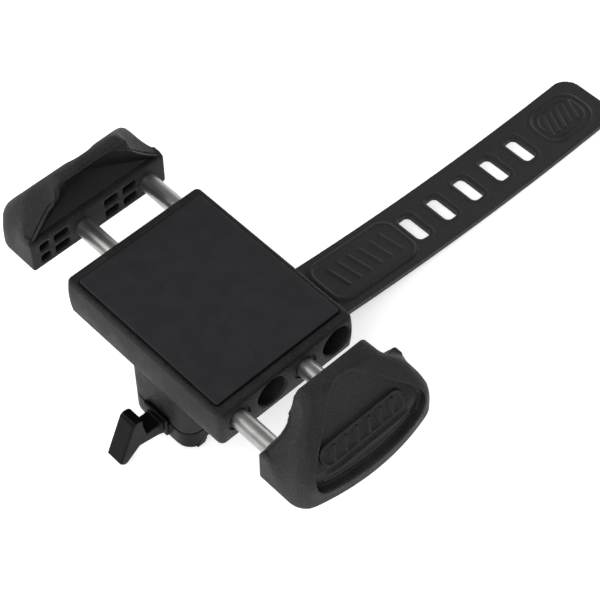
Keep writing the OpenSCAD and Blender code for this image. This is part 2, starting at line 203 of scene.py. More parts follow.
def new_group(name, inputs, outputs):
    """Empty shader node group with float inputs, and outputs given as {name: kind}."""
    tree = bpy.data.node_groups.new(name, "ShaderNodeTree")
    for label, value in inputs.items():
        socket = tree.interface.new_socket(label, in_out="INPUT", socket_type="NodeSocketFloat")
        socket.default_value = value
    for label, kind in outputs.items():
        tree.interface.new_socket(label, in_out="OUTPUT", socket_type=kind)
    wires = Wiring(tree)
    return tree, wires, wires.add("NodeGroupInput"), wires.add("NodeGroupOutput")


# %% Shared effect: moulded grain
def make_grain_group():
    """Grain height, a mottled tone from 0 to 1, and a change of gloss."""
    tree, wires, given, out = new_group(
        "moulded_grain",
        {"Grains per mm": 2.5, "Mottle per mm": 0.25},
        {"Height": "NodeSocketFloat", "Tone": "NodeSocketFloat", "Gloss": "NodeSocketFloat"},
    )
    place = wires.place()
    fine_scale = wires.multiply(given.outputs["Grains per mm"], 1 / MM)
    wide_scale = wires.multiply(given.outputs["Mottle per mm"], 1 / MM)
    fine = wires.add(
        "ShaderNodeTexNoise",
        {"Vector": place, "Scale": fine_scale},
        values={"Detail": 3.0, "Roughness": 0.6},
    )
    pits = wires.add(
        "ShaderNodeTexVoronoi",
        {"Vector": place, "Scale": fine_scale},
        feature="SMOOTH_F1",
    )
    wide = wires.add(
        "ShaderNodeTexNoise",
        {"Vector": place, "Scale": wide_scale},
        values={"Detail": 5.0, "Roughness": 0.55},
    )
    height = wires.add(
        "ShaderNodeMath",
        {0: fine.outputs[0], 1: pits.outputs["Distance"]},
        operation="ADD",
    )
    tone = wires.multiply(wide.outputs[0], fine.outputs[0])
    wires.tree.links.new(height.outputs[0], out.inputs["Height"])
    wires.tree.links.new(wires.spread(tone, 0.12, 0.4), out.inputs["Tone"])
    wires.tree.links.new(wires.spread(wide.outputs[0], 0.35, 0.65), out.inputs["Gloss"])
    return tree


grain_group = make_grain_group()
print("moulded_grain puts out:", outputs_of(grain_group))


# %% Shared effect: rubbed edges
def make_wear_group():
    """Mask of the convex edges, broken up by noise."""
    tree, wires, given, out = new_group(
        "rubbed_edges",
        {"Patches per mm": 0.6, "Amount": 0.5},
        {"Mask": "NodeSocketFloat"},
    )
    scale = wires.multiply(given.outputs["Patches per mm"], 1 / MM)
    patches = wires.add(
        "ShaderNodeTexNoise",
        {"Vector": wires.place(), "Scale": scale},
        values={"Detail": 4.0},
    )
    rounded = wires.add("ShaderNodeBevel", values={"Radius": 0.4 * MM}, samples=6)
    normal = wires.add("ShaderNodeNewGeometry").outputs["Normal"]
    likeness = wires.add(
        "ShaderNodeVectorMath",
        {0: rounded.outputs[0], 1: normal},
        operation="DOT_PRODUCT",
    )
    edge = wires.spread(likeness.outputs["Value"], 0.995, 0.9)
    rubbed = wires.spread(patches.outputs[0], 0.35, 0.7)
    mask = wires.multiply(wires.multiply(edge, rubbed), given.outputs["Amount"])
    wires.tree.links.new(mask, out.inputs["Mask"])
    return tree


wear_group = make_wear_group()
print("rubbed_edges puts out:", outputs_of(wear_group))


# %% Shared effect: dust
def make_dust_group():
    """Mask of pale specks on the faces that look up."""
    tree, wires, given, out = new_group(
        "settled_dust",
        {"Specks per mm": 0.9, "Amount": 0.3},
        {"Mask": "NodeSocketFloat"},
    )
    scale = wires.multiply(given.outputs["Specks per mm"], 1 / MM)
    specks = wires.add(
        "ShaderNodeTexNoise",
        {"Vector": wires.place(), "Scale": scale},
        values={"Detail": 6.0, "Roughness": 0.75},
    )
    normal = wires.add("ShaderNodeNewGeometry").outputs["Normal"]
    up = wires.add("ShaderNodeSeparateXYZ", {0: normal}).outputs["Z"]
    lying = wires.spread(up, 0.2, 1.0)
    bits = wires.spread(specks.outputs[0], 0.56, 0.72)
    mask = wires.multiply(wires.multiply(lying, bits), given.outputs["Amount"])
    wires.tree.links.new(mask, out.inputs["Mask"])
    return tree


dust_group = make_dust_group()
print("settled_dust puts out:", outputs_of(dust_group))


# %% Shared effect: painted shade in bores and corners
def make_painted_shade_group():
    """Painted shade mask: 1 in the open, falling towards 0 deep in bores, grooves and corners."""
    tree, wires, given, out = new_group(
        "painted_hollow_shade",
        {"Reach in mm": 7.0},
        {"Open": "NodeSocketFloat"},
    )
    # Painted shade: ambient occlusion marks where nearby surfaces block the light, and materials darken
    # their colour there.
    reach = wires.multiply(given.outputs["Reach in mm"], MM)
    around = wires.add("ShaderNodeAmbientOcclusion", {"Distance": reach}, samples=8)
    wires.tree.links.new(wires.spread(around.outputs["AO"], 0.15, 0.8), out.inputs["Open"])
    return tree


painted_shade_group = make_painted_shade_group()
print("painted_hollow_shade puts out:", outputs_of(painted_shade_group))

# %% [markdown]
# Moulded plastic and rubber differ in four ways: how dark they are, how coarse the grain
# is, how deep it is, and how glossy the skin between the grains is. One function therefore
# makes them all. The dark base tone and a slightly lighter one are mixed by the mottle, the
# edges are rubbed paler, dust lies on top, and painted shade darkens the bores and corners.

# %% Moulded materials
DUST_COLOUR = (0.12, 0.118, 0.113)


def new_material(name):
    """New material, with its wiring and its shader."""
    material = bpy.data.materials.new(name)
    material.use_nodes = True
    return material, Wiring(material.node_tree), material.node_tree.nodes["Principled BSDF"]


def place_group(wires, tree, **values):
    """Puts a node group into a material, with values for its inputs."""
    node = wires.add("ShaderNodeGroup", node_tree=tree)
    for label, value in values.items():
        node.inputs[label.replace("_", " ")].default_value = value
    return node


def mix_colours(wires, factor, first, second):
    """Colour mix whose two colours are values or sockets."""
    node = wires.add("ShaderNodeMix", {"Factor": factor}, data_type="RGBA")
    for index, colour in ((6, first), (7, second)):
        if isinstance(colour, tuple):
            node.inputs[index].default_value = (*colour, 1)
        else:
            wires.tree.links.new(colour, node.inputs[index])
    return node.outputs[2]


def dress(wires, shader, colour, roughness, height, depth):
    """Wires a colour, a roughness and a bump, whose depth is in mm, into a shader."""
    bump = wires.add(
        "ShaderNodeBump",
        {"Height": height},
        values={"Strength": 1.0, "Distance": depth * MM},
    )
    wires.tree.links.new(colour, shader.inputs["Base Color"])
    wires.tree.links.new(roughness, shader.inputs["Roughness"])
    wires.tree.links.new(bump.outputs[0], shader.inputs["Normal"])


def moulded(name, dark, light, grains, depth, rough, wear, dust, specular):
    """Moulded plastic or rubber with grain, mottle, rubbed edges, dust and painted shade in bores and
    corners.
    """
    material, wires, shader = new_material(name)
    grain = place_group(wires, grain_group, Grains_per_mm=grains, Mottle_per_mm=0.22)
    worn = place_group(wires, wear_group, Patches_per_mm=0.7, Amount=wear)
    dusty = place_group(wires, dust_group, Specks_per_mm=1.1, Amount=dust)
    colour = mix_colours(wires, grain.outputs["Tone"], dark, light)
    pale = tuple(min(1.0, 2.0 * c + 0.02) for c in light)
    colour = mix_colours(wires, worn.outputs["Mask"], colour, pale)
    colour = mix_colours(wires, dusty.outputs["Mask"], colour, DUST_COLOUR)
    # Painted shade: in bores, grooves and corners the colour is darkened towards 0.15 of the dark tone.
    hollow_shade = place_group(wires, painted_shade_group, Reach_in_mm=7.0)
    painted_shade_colour = tuple(0.15 * c for c in dark)
    colour = mix_colours(wires, hollow_shade.outputs["Open"], painted_shade_colour, colour)
    roughness = wires.spread(grain.outputs["Gloss"], 0.0, 1.0, *rough)
    dress(wires, shader, colour, roughness, grain.outputs["Height"], depth)
    shader.inputs["Specular IOR Level"].default_value = specular
    return material


FINISHES = {
    # name: dark tone, light tone, grains per mm, depth in mm, roughness, wear, dust, specular
    "housing_plastic": (0.005, 0.017, 2.6, 0.13, (0.52, 0.66), 0.5, 0.12, 0.22),
    "jaw_plastic": (0.006, 0.019, 2.2, 0.13, (0.54, 0.68), 0.5, 0.12, 0.3),
    "base_plastic": (0.0015, 0.003, 3.0, 0.005, (0.34, 0.46), 0.6, 0.05, 0.1),
    "cover_plastic": (0.014, 0.024, 3.0, 0.03, (0.5, 0.62), 0.4, 0.1, 0.4),
    "pad_rubber": (0.0105, 0.0145, 4.0, 0.012, (0.5, 0.58), 0.3, 0.05, 0.3),
    "liner_rubber": (0.008, 0.012, 3.0, 0.012, (0.5, 0.6), 0.9, 0.05, 0.3),
    "saddle_rubber": (0.012, 0.02, 3.0, 0.02, (0.6, 0.72), 0.4, 0.1, 0.3),
    "strap_rubber": (0.006, 0.013, 3.0, 0.04, (0.5, 0.62), 0.5, 0.1, 0.32),
}
TINTS = {
    "pad_rubber": (1.0, 0.97, 1.16),
    "base_plastic": (1.0, 1.01, 0.95),
    "strap_rubber": (1.0, 0.99, 1.06),
}
MATERIALS = {}
for name, (dark, light, grains, depth, rough, wear, dust, specular) in FINISHES.items():
    tint = TINTS.get(name, (1.0, 1.0, 1.03))
    shades = [tuple(tone * part for part in tint) for tone in (dark, light)]
    MATERIALS[name] = moulded(name, *shades, grains, depth, rough, wear, dust, specular)
print("moulded finishes:", len(MATERIALS))


# %% [markdown]
# The rods are ground and polished stock. One even grey would look like paint. Polishing
# leaves hair lines along the rod, so the noise is stretched along X: many changes around the
# rod, few along it. The fasteners are
# zinc plated, with a faint blue and yellow cast that drifts over the surface. The friction
# washer is pale acetal, a moulded plastic.

# %% Metals
def metal(name, dark, light, stretch, lines_per_mm, rough, depth):
    """Metal whose colour, roughness and bump all follow one stretched noise."""
    material, wires, shader = new_material(name)
    place = wires.place()
    mapping = wires.add("ShaderNodeMapping", {"Vector": place})
    mapping.inputs["Scale"].default_value = stretch
    lines = wires.add(
        "ShaderNodeTexNoise",
        {"Vector": mapping.outputs[0]},
        values={"Scale": lines_per_mm / MM, "Detail": 6.0, "Roughness": 0.7},
    )
    clouds = wires.add(
        "ShaderNodeTexNoise",
        {"Vector": place},
        values={"Scale": 0.3 / MM, "Detail": 3.0},
    )
    worn = place_group(wires, wear_group, Patches_per_mm=1.5, Amount=0.6)
    bright = tuple(min(1.0, 1.25 * c) for c in light)
    colour = mix_colours(wires, clouds.outputs[0], dark, light)
    colour = mix_colours(wires, worn.outputs["Mask"], colour, bright)
    roughness = wires.spread(lines.outputs[0], 0.0, 1.0, *rough)
    dress(wires, shader, colour, roughness, lines.outputs[0], depth)
    shader.inputs["Metallic"].default_value = 1.0
    return material


ALONG_X = (0.03, 1, 1)
EVEN = (1, 1, 1)
METALS = {
    # name: dark tone, light tone, stretch, lines per mm, roughness, depth in mm
    "rod_steel": ((0.28, 0.28, 0.275), (0.48, 0.48, 0.47), ALONG_X, 2.4, (0.3, 0.48), 0.008),
    "spring_steel": ((0.30, 0.30, 0.30), (0.46, 0.46, 0.45), EVEN, 1.5, (0.25, 0.45), 0.006),
    "fastener_steel": ((0.40, 0.42, 0.46), (0.60, 0.58, 0.52), EVEN, 2.0, (0.25, 0.5), 0.006),
}
for name, values in METALS.items():
    MATERIALS[name] = metal(name, *values)
MATERIALS["acetal"] = moulded(
    "acetal", (0.62, 0.60, 0.54), (0.72, 0.70, 0.64), 2.0, 0.004, (0.35, 0.45), 0.2, 0.0, 0.5
)
print("finishes:", sorted(MATERIALS))

# %% [markdown]
# Pieces are modelled in millimetres, because Blender's booleans and remesher like numbers
# near one, and are shrunk to metres when they are done. Four tools shape nearly everything:
# a loft through rings, a prism, a turned solid, and a bead that follows a path.

# %% Mesh tools
def clamp(value):
    """Value kept between 0 and 1."""
    return min(max(value, 0), 1)


def mesh_piece(name, points, faces):
    """New object from points in millimetres."""
    mesh = bpy.data.meshes.new(name)
    mesh.from_pydata([tuple(p) for p in points], [], faces)
    piece = bpy.data.objects.new(name, mesh)
    bpy.context.scene.collection.objects.link(piece)
    tidy = bmesh.new()
    tidy.from_mesh(mesh)
    bmesh.ops.recalc_face_normals(tidy, faces=tidy.faces)
    tidy.to_mesh(mesh)
    tidy.free()
    return piece


def loft(name, rings, closed=False):
    """Skin through rings of equally many points, capped at both ends or closed on itself."""
    n = len(rings[0])
    points = [p for ring in rings for p in ring]
    spans = len(rings) if closed else len(rings) - 1
    faces = []
    for i in range(spans):
        a = i * n
        b = (i + 1) % len(rings) * n
        faces += [(a + k, a + (k + 1) % n, b + (k + 1) % n, b + k) for k in range(n)]
    if not closed:
        faces.append(tuple(range(n - 1, -1, -1)))
        faces.append(tuple(range(len(points) - n, len(points))))
    return mesh_piece(name, points, faces)


def round_rect(length, width, radius, z, steps=8):
    """Ring of a rectangle with round corners, at height z."""
    ring = []
    for turn, (sx, sy) in enumerate(((1, 1), (-1, 1), (-1, -1), (1, -1))):
        for k in range(steps + 1):
            angle = math.radians(90 * turn + 90 * k / steps)
            ring.append((
                sx * (length / 2 - radius) + radius * math.cos(angle),
                sy * (width / 2 - radius) + radius * math.sin(angle),
                z,
            ))
    return ring


def prism_x(name, outline, x0, x1):
    """Outline in Y and Z, extruded along X."""
    return loft(name, [[(x, y, z) for y, z in outline] for x in (x0, x1)])


def turned_x(name, profile, y, z, sides=64):
    """Solid of revolution about a line along X, from (x, radius) pairs."""
    rings = []
    turns = [2 * math.pi * k / sides for k in range(sides)]
    for x, radius in profile:
        rings.append([(x, y + radius * math.cos(turn), z + radius * math.sin(turn)) for turn in turns])
    return loft(name, rings)


def bead(name, path, radius, sides=10, closed=True):
    """Round bead along a path."""
    path = [Vector(p) for p in path]
    count = len(path)
    turns = [2 * math.pi * k / sides for k in range(sides)]
    rings = []
    for i, point in enumerate(path):
        before = path[i - 1] if closed or i else path[0]
        after = path[(i + 1) % count] if closed or i < count - 1 else path[-1]
        along = (after - before).normalized()
        side = along.cross(Vector((0, 0, 1)))
        if side.length < 0.1:
            side = along.cross(Vector((0, 1, 0)))
        side.normalize()
        other = side.cross(along)
        rings.append([point + radius * (math.cos(turn) * side + math.sin(turn) * other) for turn in turns])
    return loft(name, rings, closed)


print("points in a rounded rectangle:", len(round_rect(10, 6, 1, 0)))


# %% Modifier tools
def settle(piece):
    """Makes the result of a piece's modifiers its real mesh."""
    graph = bpy.context.evaluated_depsgraph_get()
    mesh = bpy.data.meshes.new_from_object(piece.evaluated_get(graph))
    piece.modifiers.clear()
    old = piece.data
    piece.data = mesh
    bpy.data.meshes.remove(old)
    return piece


def combine(piece, others, operation):
    """Exact boolean of a piece with others, which are used up."""
    for other in others:
        step = piece.modifiers.new("shape", "BOOLEAN")
        step.operation = operation
        step.solver = "EXACT"
        step.object = other
        bpy.context.view_layer.update()
        settle(piece)
        bpy.data.objects.remove(other)
    return piece


def cut(piece, *cutters):
    return combine(piece, cutters, "DIFFERENCE")


def join(piece, *others):
    """Puts other meshes into a piece without welding them."""
    build = bmesh.new()
    build.from_mesh(piece.data)
    for other in others:
        build.from_mesh(other.data)
        bpy.data.objects.remove(other)
    build.to_mesh(piece.data)
    build.free()
    return piece


def soften(piece, voxel, rounds, keep=1.0):
    """Remeshes a piece into fine even facets and lets its edges relax, as moulded edges do."""
    remesh = piece.modifiers.new("even_facets", "REMESH")
    remesh.mode = "VOXEL"
    remesh.voxel_size = voxel
    relax = piece.modifiers.new("soft_edges", "SMOOTH")
    relax.factor = 0.5
    relax.iterations = rounds
    if keep < 1:
        thin = piece.modifiers.new("fewer_facets", "DECIMATE")
        thin.ratio = keep
    settle(piece)
    return piece


def cad_copy(node, name):
    """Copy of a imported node's mesh, in millimetres, with its points welded."""
    mesh = frame["nodes"][node].data.copy()
    mesh.transform(Matrix.Scale(1 / MM, 4))
    mesh.materials.clear()
    weld = bmesh.new()
    weld.from_mesh(mesh)
    bmesh.ops.remove_doubles(weld, verts=weld.verts, dist=0.002)
    weld.to_mesh(mesh)
    weld.free()
    piece = bpy.data.objects.new(name, mesh)
    bpy.context.scene.collection.objects.link(piece)
    return piece


def finish_piece(piece, body, slot, *nodes):
    """Shrinks a piece to metres, gives it its finish and hands it to its body."""
    piece.data.transform(Matrix.Scale(MM, 4))
    piece.data.materials.clear()
    piece.data.materials.append(MATERIALS[slot])
    piece.data.shade_smooth()
    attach(piece, body)
    if nodes:
        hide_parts(*nodes)
    print(f"{piece.name}: {len(piece.data.polygons)} faces")
    return piece


def shade_by_angle(piece, degrees=35):
    """Keeps crisp edges crisp on a piece with few facets."""
    piece.data.shade_smooth()
    limit = math.radians(degrees)
    edges = bmesh.new()
    edges.from_mesh(piece.data)
    for edge in edges.edges:
        edge.smooth = len(edge.link_faces) == 2 and edge.calc_face_angle(0) < limit
    edges.to_mesh(piece.data)
    edges.free()
    return piece


print("pieces are modelled in mm and shrunk by", MM)

# %% [markdown]
# The housing is one moulding. Its sides bow out by half a millimetre and its edges are
# rounded. A block with a bevel would give the round edges but not the bow. A loft gives
# both directly: each ring is a rounded rectangle at its own height.
# The rings climb the outside, roll over the top edge and drop into the pad's recess. The
# four channels are then cut with turned solids, whose profile holds the wide bore, the
# guide hole and the shallow ring where a rod comes out.

# %% Housing
CHANNEL_R = 4.3
GUIDE_R = 2.6
RING_R = 3.3
RING_DEEP = 0.55
WALL_START = 24.5
BOW = 0.5
EDGE_R = 0.7
CORNER_R = 1.9
UNDER_INSET = 2.4
UNDER_EDGE = 0.9
RECESS_GAP = 0.35
RECESS_R = 1.1
head_l = head_high.x - head_low.x
head_w = head_high.y - head_low.y


def housing_ring(inset, z):
    """Outline of the housing at height z, drawn in by an inset."""
    return round_rect(head_l - 2 * inset, head_w - 2 * inset, max(CORNER_R - inset, 0.4), z)


def housing_rings():
    """Rings from the underside, up the bowed sides and over the edge, into the recess."""
    rings = [housing_ring(inset, head_low.z) for inset in (UNDER_INSET, BOW + UNDER_EDGE)]
    height = head_high.z - head_low.z
    for k in range(5):
        angle = math.radians(90 * (k + 1) / 6)
        inset = BOW + EDGE_R * (1 - math.sin(angle))
        rings.append(housing_ring(inset, head_low.z + EDGE_R * (1 - math.cos(angle))))
    for k in range(13):
        z = head_low.z + EDGE_R + k / 12 * (height - 2 * EDGE_R)
        across = 2 * (z - head_low.z) / height - 1
        rings.append(housing_ring(BOW * across * across, z))
    for k in range(6):
        angle = math.radians(90 * (k + 1) / 6)
        inset = BOW + EDGE_R * (1 - math.cos(angle))
        rings.append(housing_ring(inset, head_high.z - EDGE_R * (1 - math.sin(angle))))
    recess_l = pad_high.x - pad_low.x + 2 * RECESS_GAP
    recess_w = pad_high.y - pad_low.y + 2 * RECESS_GAP
    rings.append(round_rect(recess_l + 0.25, recess_w + 0.25, RECESS_R + 0.1, head_high.z))
    rings.append(round_rect(recess_l, recess_w, RECESS_R, head_high.z - 0.12))
    rings.append(round_rect(recess_l, recess_w, RECESS_R, pad_low.z))
    return rings


def channel_cutter(name, node, side):
    """Channel for one rod; side is +1 where the rod leaves towards +X."""
    low, high = box_mm(node)
    y = (low.y + high.y) / 2
    z = (low.z + high.z) / 2
    face = head_high.x
    profile = [
        (-face - 2, CHANNEL_R + 0.5), (-face + 0.05, CHANNEL_R + 0.5), (-face + 0.55, CHANNEL_R),
        (WALL_START, CHANNEL_R), (WALL_START, GUIDE_R), (face - RING_DEEP, GUIDE_R),
        (face - RING_DEEP, RING_R), (face - 0.1, RING_R + 0.15), (face + 2, RING_R + 0.15),
    ]
    return turned_x(name, [(side * x, r) for x, r in profile], y, z)


housing = loft("housing_shell", housing_rings())
cut(
    housing,
    channel_cutter("channel_1", "right_rod_outer", 1),
    channel_cutter("channel_2", "right_rod_inner", 1),
    channel_cutter("channel_3", "left_rod_outer", -1),
    channel_cutter("channel_4", "left_rod_inner", -1),
)
cover_low, cover_high = box_mm("bottom_cover")
COVER_GAP = 0.2
COVER_R = 2
cover_l = cover_high.x - cover_low.x + COVER_GAP
cover_w = cover_high.y - cover_low.y + COVER_GAP
cover_heights = (head_low.z - 1, head_low.z + 1.4)
cut(housing, loft("cover_room", [round_rect(cover_l, cover_w, COVER_R, z) for z in cover_heights]))
shade_by_angle(housing)
finish_piece(housing, "head", "housing_plastic", "housing")
shade_by_angle(housing)

# %% [markdown]
# The pad is a rubber sheet that stands a little proud of the housing. A flat card would do
# from far away, but its top edge is rounded here, so its outline catches a thin line of light.

# %% Phone pad
pad_l = pad_high.x - pad_low.x
pad_w = pad_high.y - pad_low.y
PAD_EDGE = 0.2
PAD_CORNER = 0.8
pad_rings = [round_rect(pad_l, pad_w, PAD_CORNER, pad_low.z)]
for k in range(5):
    angle = math.radians(90 * k / 4)
    inset = PAD_EDGE * (1 - math.cos(angle))
    z = pad_high.z - PAD_EDGE * (1 - math.sin(angle))
    pad_rings.append(round_rect(pad_l - 2 * inset, pad_w - 2 * inset, PAD_CORNER - inset / 2, z))
pad_rings.append(round_rect(pad_l - 3, pad_w - 3, PAD_CORNER, pad_high.z))
pad = loft("phone_pad_sheet", pad_rings)
finish_piece(pad, "head", "pad_rubber", "phone_pad")
shade_by_angle(pad, 50)

# %% [markdown]
# Neck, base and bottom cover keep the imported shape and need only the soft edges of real
# mouldings. A bevel fails where many cuts meet, so a copy of each is remeshed finely and
# relaxed: flat faces stay flat, and every edge rolls over by a few tenths of a millimetre.

# %% Neck, base and cover
neck = soften(cad_copy("neck", "neck_block"), 0.3, 6, 0.35)
finish_piece(neck, "base", "housing_plastic", "neck")

base = soften(cad_copy("bar_base", "hook_base"), 0.24, 6, 0.35)
finish_piece(base, "base", "base_plastic", "bar_base")

cover = soften(cad_copy("bottom_cover", "cover_plate"), 0.3, 3, 0.3)
finish_piece(cover, "head", "cover_plastic", "bottom_cover")

# %% [markdown]
# The saddle's pad grips the bar with shallow grooves that run along it. A bump in the
# material would vanish at the pad's edge, so they are really cut, with thin rods laid on the
# pad's inner face at even angles.

# %% Saddle pad
saddle = cad_copy("saddle_pad", "saddle_lining")
saddle_low, saddle_high = box_mm("saddle_pad")
BAR_R = 15.9
GROOVE_R = 0.5
groove_profile = [(saddle_low.x - 1, GROOVE_R), (saddle_high.x + 1, GROOVE_R)]
grooves = []
for step in range(-5, 6):
    angle = math.radians(90 + 9.5 * step)
    y, z = BAR_R * math.cos(angle), BAR_R * math.sin(angle)
    grooves.append(turned_x(f"groove_{step + 5}", groove_profile, y, z, 12))
cut(saddle, *grooves)
soften(saddle, 0.25, 2, 0.4)
finish_piece(saddle, "base", "saddle_rubber", "saddle_pad")

# %% [markdown]
# The strap is one rubber moulding: a long band with five slots, a raised plate near the
# base, and an oval grip near the tip. The band is bent to a wide arc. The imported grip's
# square ribs are shaved off and slanting ones take their place. The fine borders are beads
# half sunk into the band, joined to it before the remesh, so the relaxing gives them fillets.

# %% Strap
ARC_R = 600.0
ARC_LOW_Y = 115.0
ARC_LOW_Z = 8.9
BAND_T = 2.2


def band_top(y, lift):
    """Height of the band's upper face at y, plus a lift."""
    drop = math.sqrt((ARC_R - BAND_T / 2) ** 2 - (y - ARC_LOW_Y) ** 2)
    return ARC_LOW_Z + ARC_R - drop + lift


def on_band(outline, lift):
    """Lays an outline, given in X and Y, on the band's upper face."""
    return [(x, y, band_top(y, lift)) for x, y in outline]


def oval(cx, cy, length, width, radius, steps=6):
    """Rounded rectangle about (cx, cy), as X and Y pairs."""
    ring = round_rect(width, length, radius, 0, steps)
    points = []
    for i, (x, y, _) in enumerate(ring):
        nx, ny, _ = ring[(i + 1) % len(ring)]
        pieces = max(1, int(math.dist((x, y), (nx, ny)) / 1.2))
        points += [(cx + x + (nx - x) * k / pieces, cy + y + (ny - y) * k / pieces) for k in range(pieces)]
    return points


strap = cad_copy("strap", "strap_band")
SLOT_PITCH = 10.4
GRIP_Y = 128.8
FIRST_SLOT = 71.0
details = []
for k in range(5):
    border = on_band(oval(0, FIRST_SLOT + k * SLOT_PITCH, 6.0, 11.0, 2.3), -0.12)
    details.append(bead(f"slot_border_{k}", border, 0.26))
details.append(bead("plate_border", on_band(oval(0, 52, 28.6, 13.6, 3.6), 0.55), 0.3))
for length, width, radius in ((17.0, 13.0, 5.0), (13.4, 9.6, 4.0)):
    border = on_band(oval(0, GRIP_Y, length, width, radius), -0.02)
    details.append(bead(f"grip_border_{int(length)}", border, 0.32))
shave_corners = ((-5.5, -0.02), (5.5, -0.02), (5.5, 2), (-5.5, 2))
shave = []
for k in range(14):
    y = GRIP_Y - 6.5 + k
    shave.append([(x, y, band_top(y, lift)) for x, lift in shave_corners])
cut(strap, loft("shave", shave))
for k in range(5):
    y = GRIP_Y + 2.4 * (k - 2)
    rib = [(3.2 * t, y - 1.5 * t) for t in (-1, -0.5, 0, 0.5, 1)]
    details.append(bead(f"pull_rib_{k}", on_band(rib, 0.02), 0.45, closed=False))
for k in range(6):
    y = 42.5 + 3.8 * k
    bar = [(-3.6 + 7.2 * i / 6, y + 1.1 * i / 6) for i in range(7)]
    details.append(bead(f"plate_bar_{k}", on_band(bar, 0.58), 0.42, closed=False))
join(strap, *details)
soften(strap, 0.22, 3, 0.35)
finish_piece(strap, "strap", "strap_rubber", "strap")

# %% [markdown]
# A jaw is a deep hooked block: a wide base, shoulders that sweep in to a narrow lip, and an
# outer face that bows and slopes. Its outer edges are rolled over by up to three
# millimetres, which no modifier does evenly on such a shape. So the outside is written as a
# rule instead: how far a point is from the outer face, from the shoulders, the ends and the
# lip, blended with a round edge. Slices that follow the rule are lofted into the block.
# Pocket, scoop and rib pockets are then cut out of it.

# %% Jaw measures
JAW_X = jaw_low.x
PAD_TOP = pad_high.z
JAW_DEPTH = jaw_high.x - jaw_low.x
JAW_HALF = jaw_high.y
JAW_BASE = jaw_low.z - PAD_TOP
LIP_TOP = jaw_high.z - PAD_TOP
LIP_INNER = 0.6
BOW_R = 64.0
SLOPE_TOP = (6.4, 11.1)
SLOPE_LOW = -3.3
SLOPE_RUN = (JAW_DEPTH - SLOPE_TOP[0]) / (SLOPE_TOP[1] - SLOPE_LOW)
SHOULDER_Y = 26.5
SHOULDER_Z = 14.8
SHOULDER_R = 15.6
RIM_TOP = (10.2, 14.2)
RIM_END = (21.4, 2.4)
LEDGE = -0.3
OUTER_ROLL = 2.0
LIP_ROLL = 2.4
FOOT_ROLL = 0.7
EDGE_LOW = 3.0
EDGE_HIGH = 1.5
EDGE_RISE = 6
EDGE_POWER = 1.6
print("jaw in mm:", round(JAW_DEPTH, 1), "deep,", round(2 * JAW_HALF, 1), "wide, lip at", round(LIP_TOP, 1))


def jaw_point(x, y, z):
    """Place in the model of a point given from the inner face, the middle and the pad's top."""
    return (JAW_X + x, y, PAD_TOP + z)


def slope_x(z):
    """Sloping upper part of the outer face, at height z above the pad."""
    return SLOPE_TOP[0] + (SLOPE_TOP[1] - z) * SLOPE_RUN


def outer_x(y, z):
    """Outer face of the jaw: sloping above, bowed below."""
    return min(JAW_DEPTH - y * y / (2 * BOW_R), slope_x(z))


def rolled(a, b, radius, power=2.0):
    """Distance outside two faces at once, where their shared edge is rolled over."""
    beyond = (max(a + radius, 0) ** power + max(b + radius, 0) ** power) ** (1 / power)
    return min(max(a, b), -radius) + beyond


def side_rule(x, y, z):
    """Distance outside the ends and shoulders: hollow at the inner face, a bell further out."""
    hollow = SHOULDER_R - math.hypot(y - SHOULDER_Y, min(z - SHOULDER_Z, 0))
    run, fall = RIM_END[0] - RIM_TOP[0], RIM_TOP[1] - RIM_END[1]
    rim = ((y - RIM_TOP[0]) * fall + (z - RIM_TOP[1]) * run) / math.hypot(run, fall)
    share = clamp((x - 1.5) / 6.5)
    share = share * share * (3 - 2 * share)
    return rolled(y - JAW_HALF, hollow + (rim - hollow) * share, 0.4 + 7 * share)


def jaw_rule(x, y, z):
    """Below zero inside the jaw's outer form, above zero outside."""
    bowed = x - JAW_DEPTH + y * y / (2 * BOW_R)
    sloped = (x - slope_x(z)) / math.hypot(1, SLOPE_RUN)
    outer = rolled(bowed, sloped, OUTER_ROLL)
    sides = rolled(side_rule(x, abs(y), z), z - LIP_TOP + 0.1, LIP_ROLL)
    edge = EDGE_LOW - (EDGE_LOW - EDGE_HIGH) * clamp(z / EDGE_RISE)
    return rolled(rolled(outer, sides, edge, EDGE_POWER), JAW_BASE - z, FOOT_ROLL)


def smooth_path(points, steps=6):
    """Smooth curve through a few points, by Bezier pieces with tangents from neighbours."""
    points = [Vector(p) for p in points]
    path = []
    for i in range(len(points) - 1):
        a, b = points[i], points[i + 1]
        before = points[i - 1] if i else a
        after = points[i + 2] if i + 2 < len(points) else b
        piece = interpolate_bezier(a, a + (b - before) / 6, b - (after - a) / 6, b, steps + 1)
        path += piece[:-1]
    return path + [points[-1]]


# %% Jaw block
FAR_OUT = 30.0
HALVINGS = 22
FOOT_LIFTS = (0.02, 0.15, 0.4, 0.8, 1.6, 3.2, 4.8, 6.4, 8.0, 9.4)
CROWN = ((0.4, 0.7), (0.22, 0.9), (0.12, 1.3))
SLICES = 57


def jaw_slice(z, inner, grow):
    """Slice of the jaw at height z: rays from the inner face find where the rule is zero."""
    spine = 9.0 if z < LEDGE else 5.0
    rays = [(-spine, -90 + 90 * k / 18) for k in range(18)]
    rays += [(-spine + 2 * spine * k / 24, 0) for k in range(25)]
    rays += [(spine, 90 * (k + 1) / 18) for k in range(18)]
    ring = []
    for y, angle in rays:
        dx, dy = math.cos(math.radians(angle)), math.sin(math.radians(angle))
        near, far = 0.0, FAR_OUT
        for _ in range(HALVINGS):
            middle = (near + far) / 2
            if jaw_rule(inner + middle * dx, y + middle * dy, z) < grow:
                near = middle
            else:
                far = middle
        ring.append(jaw_point(inner + near * dx, y + near * dy, z))
    return ring


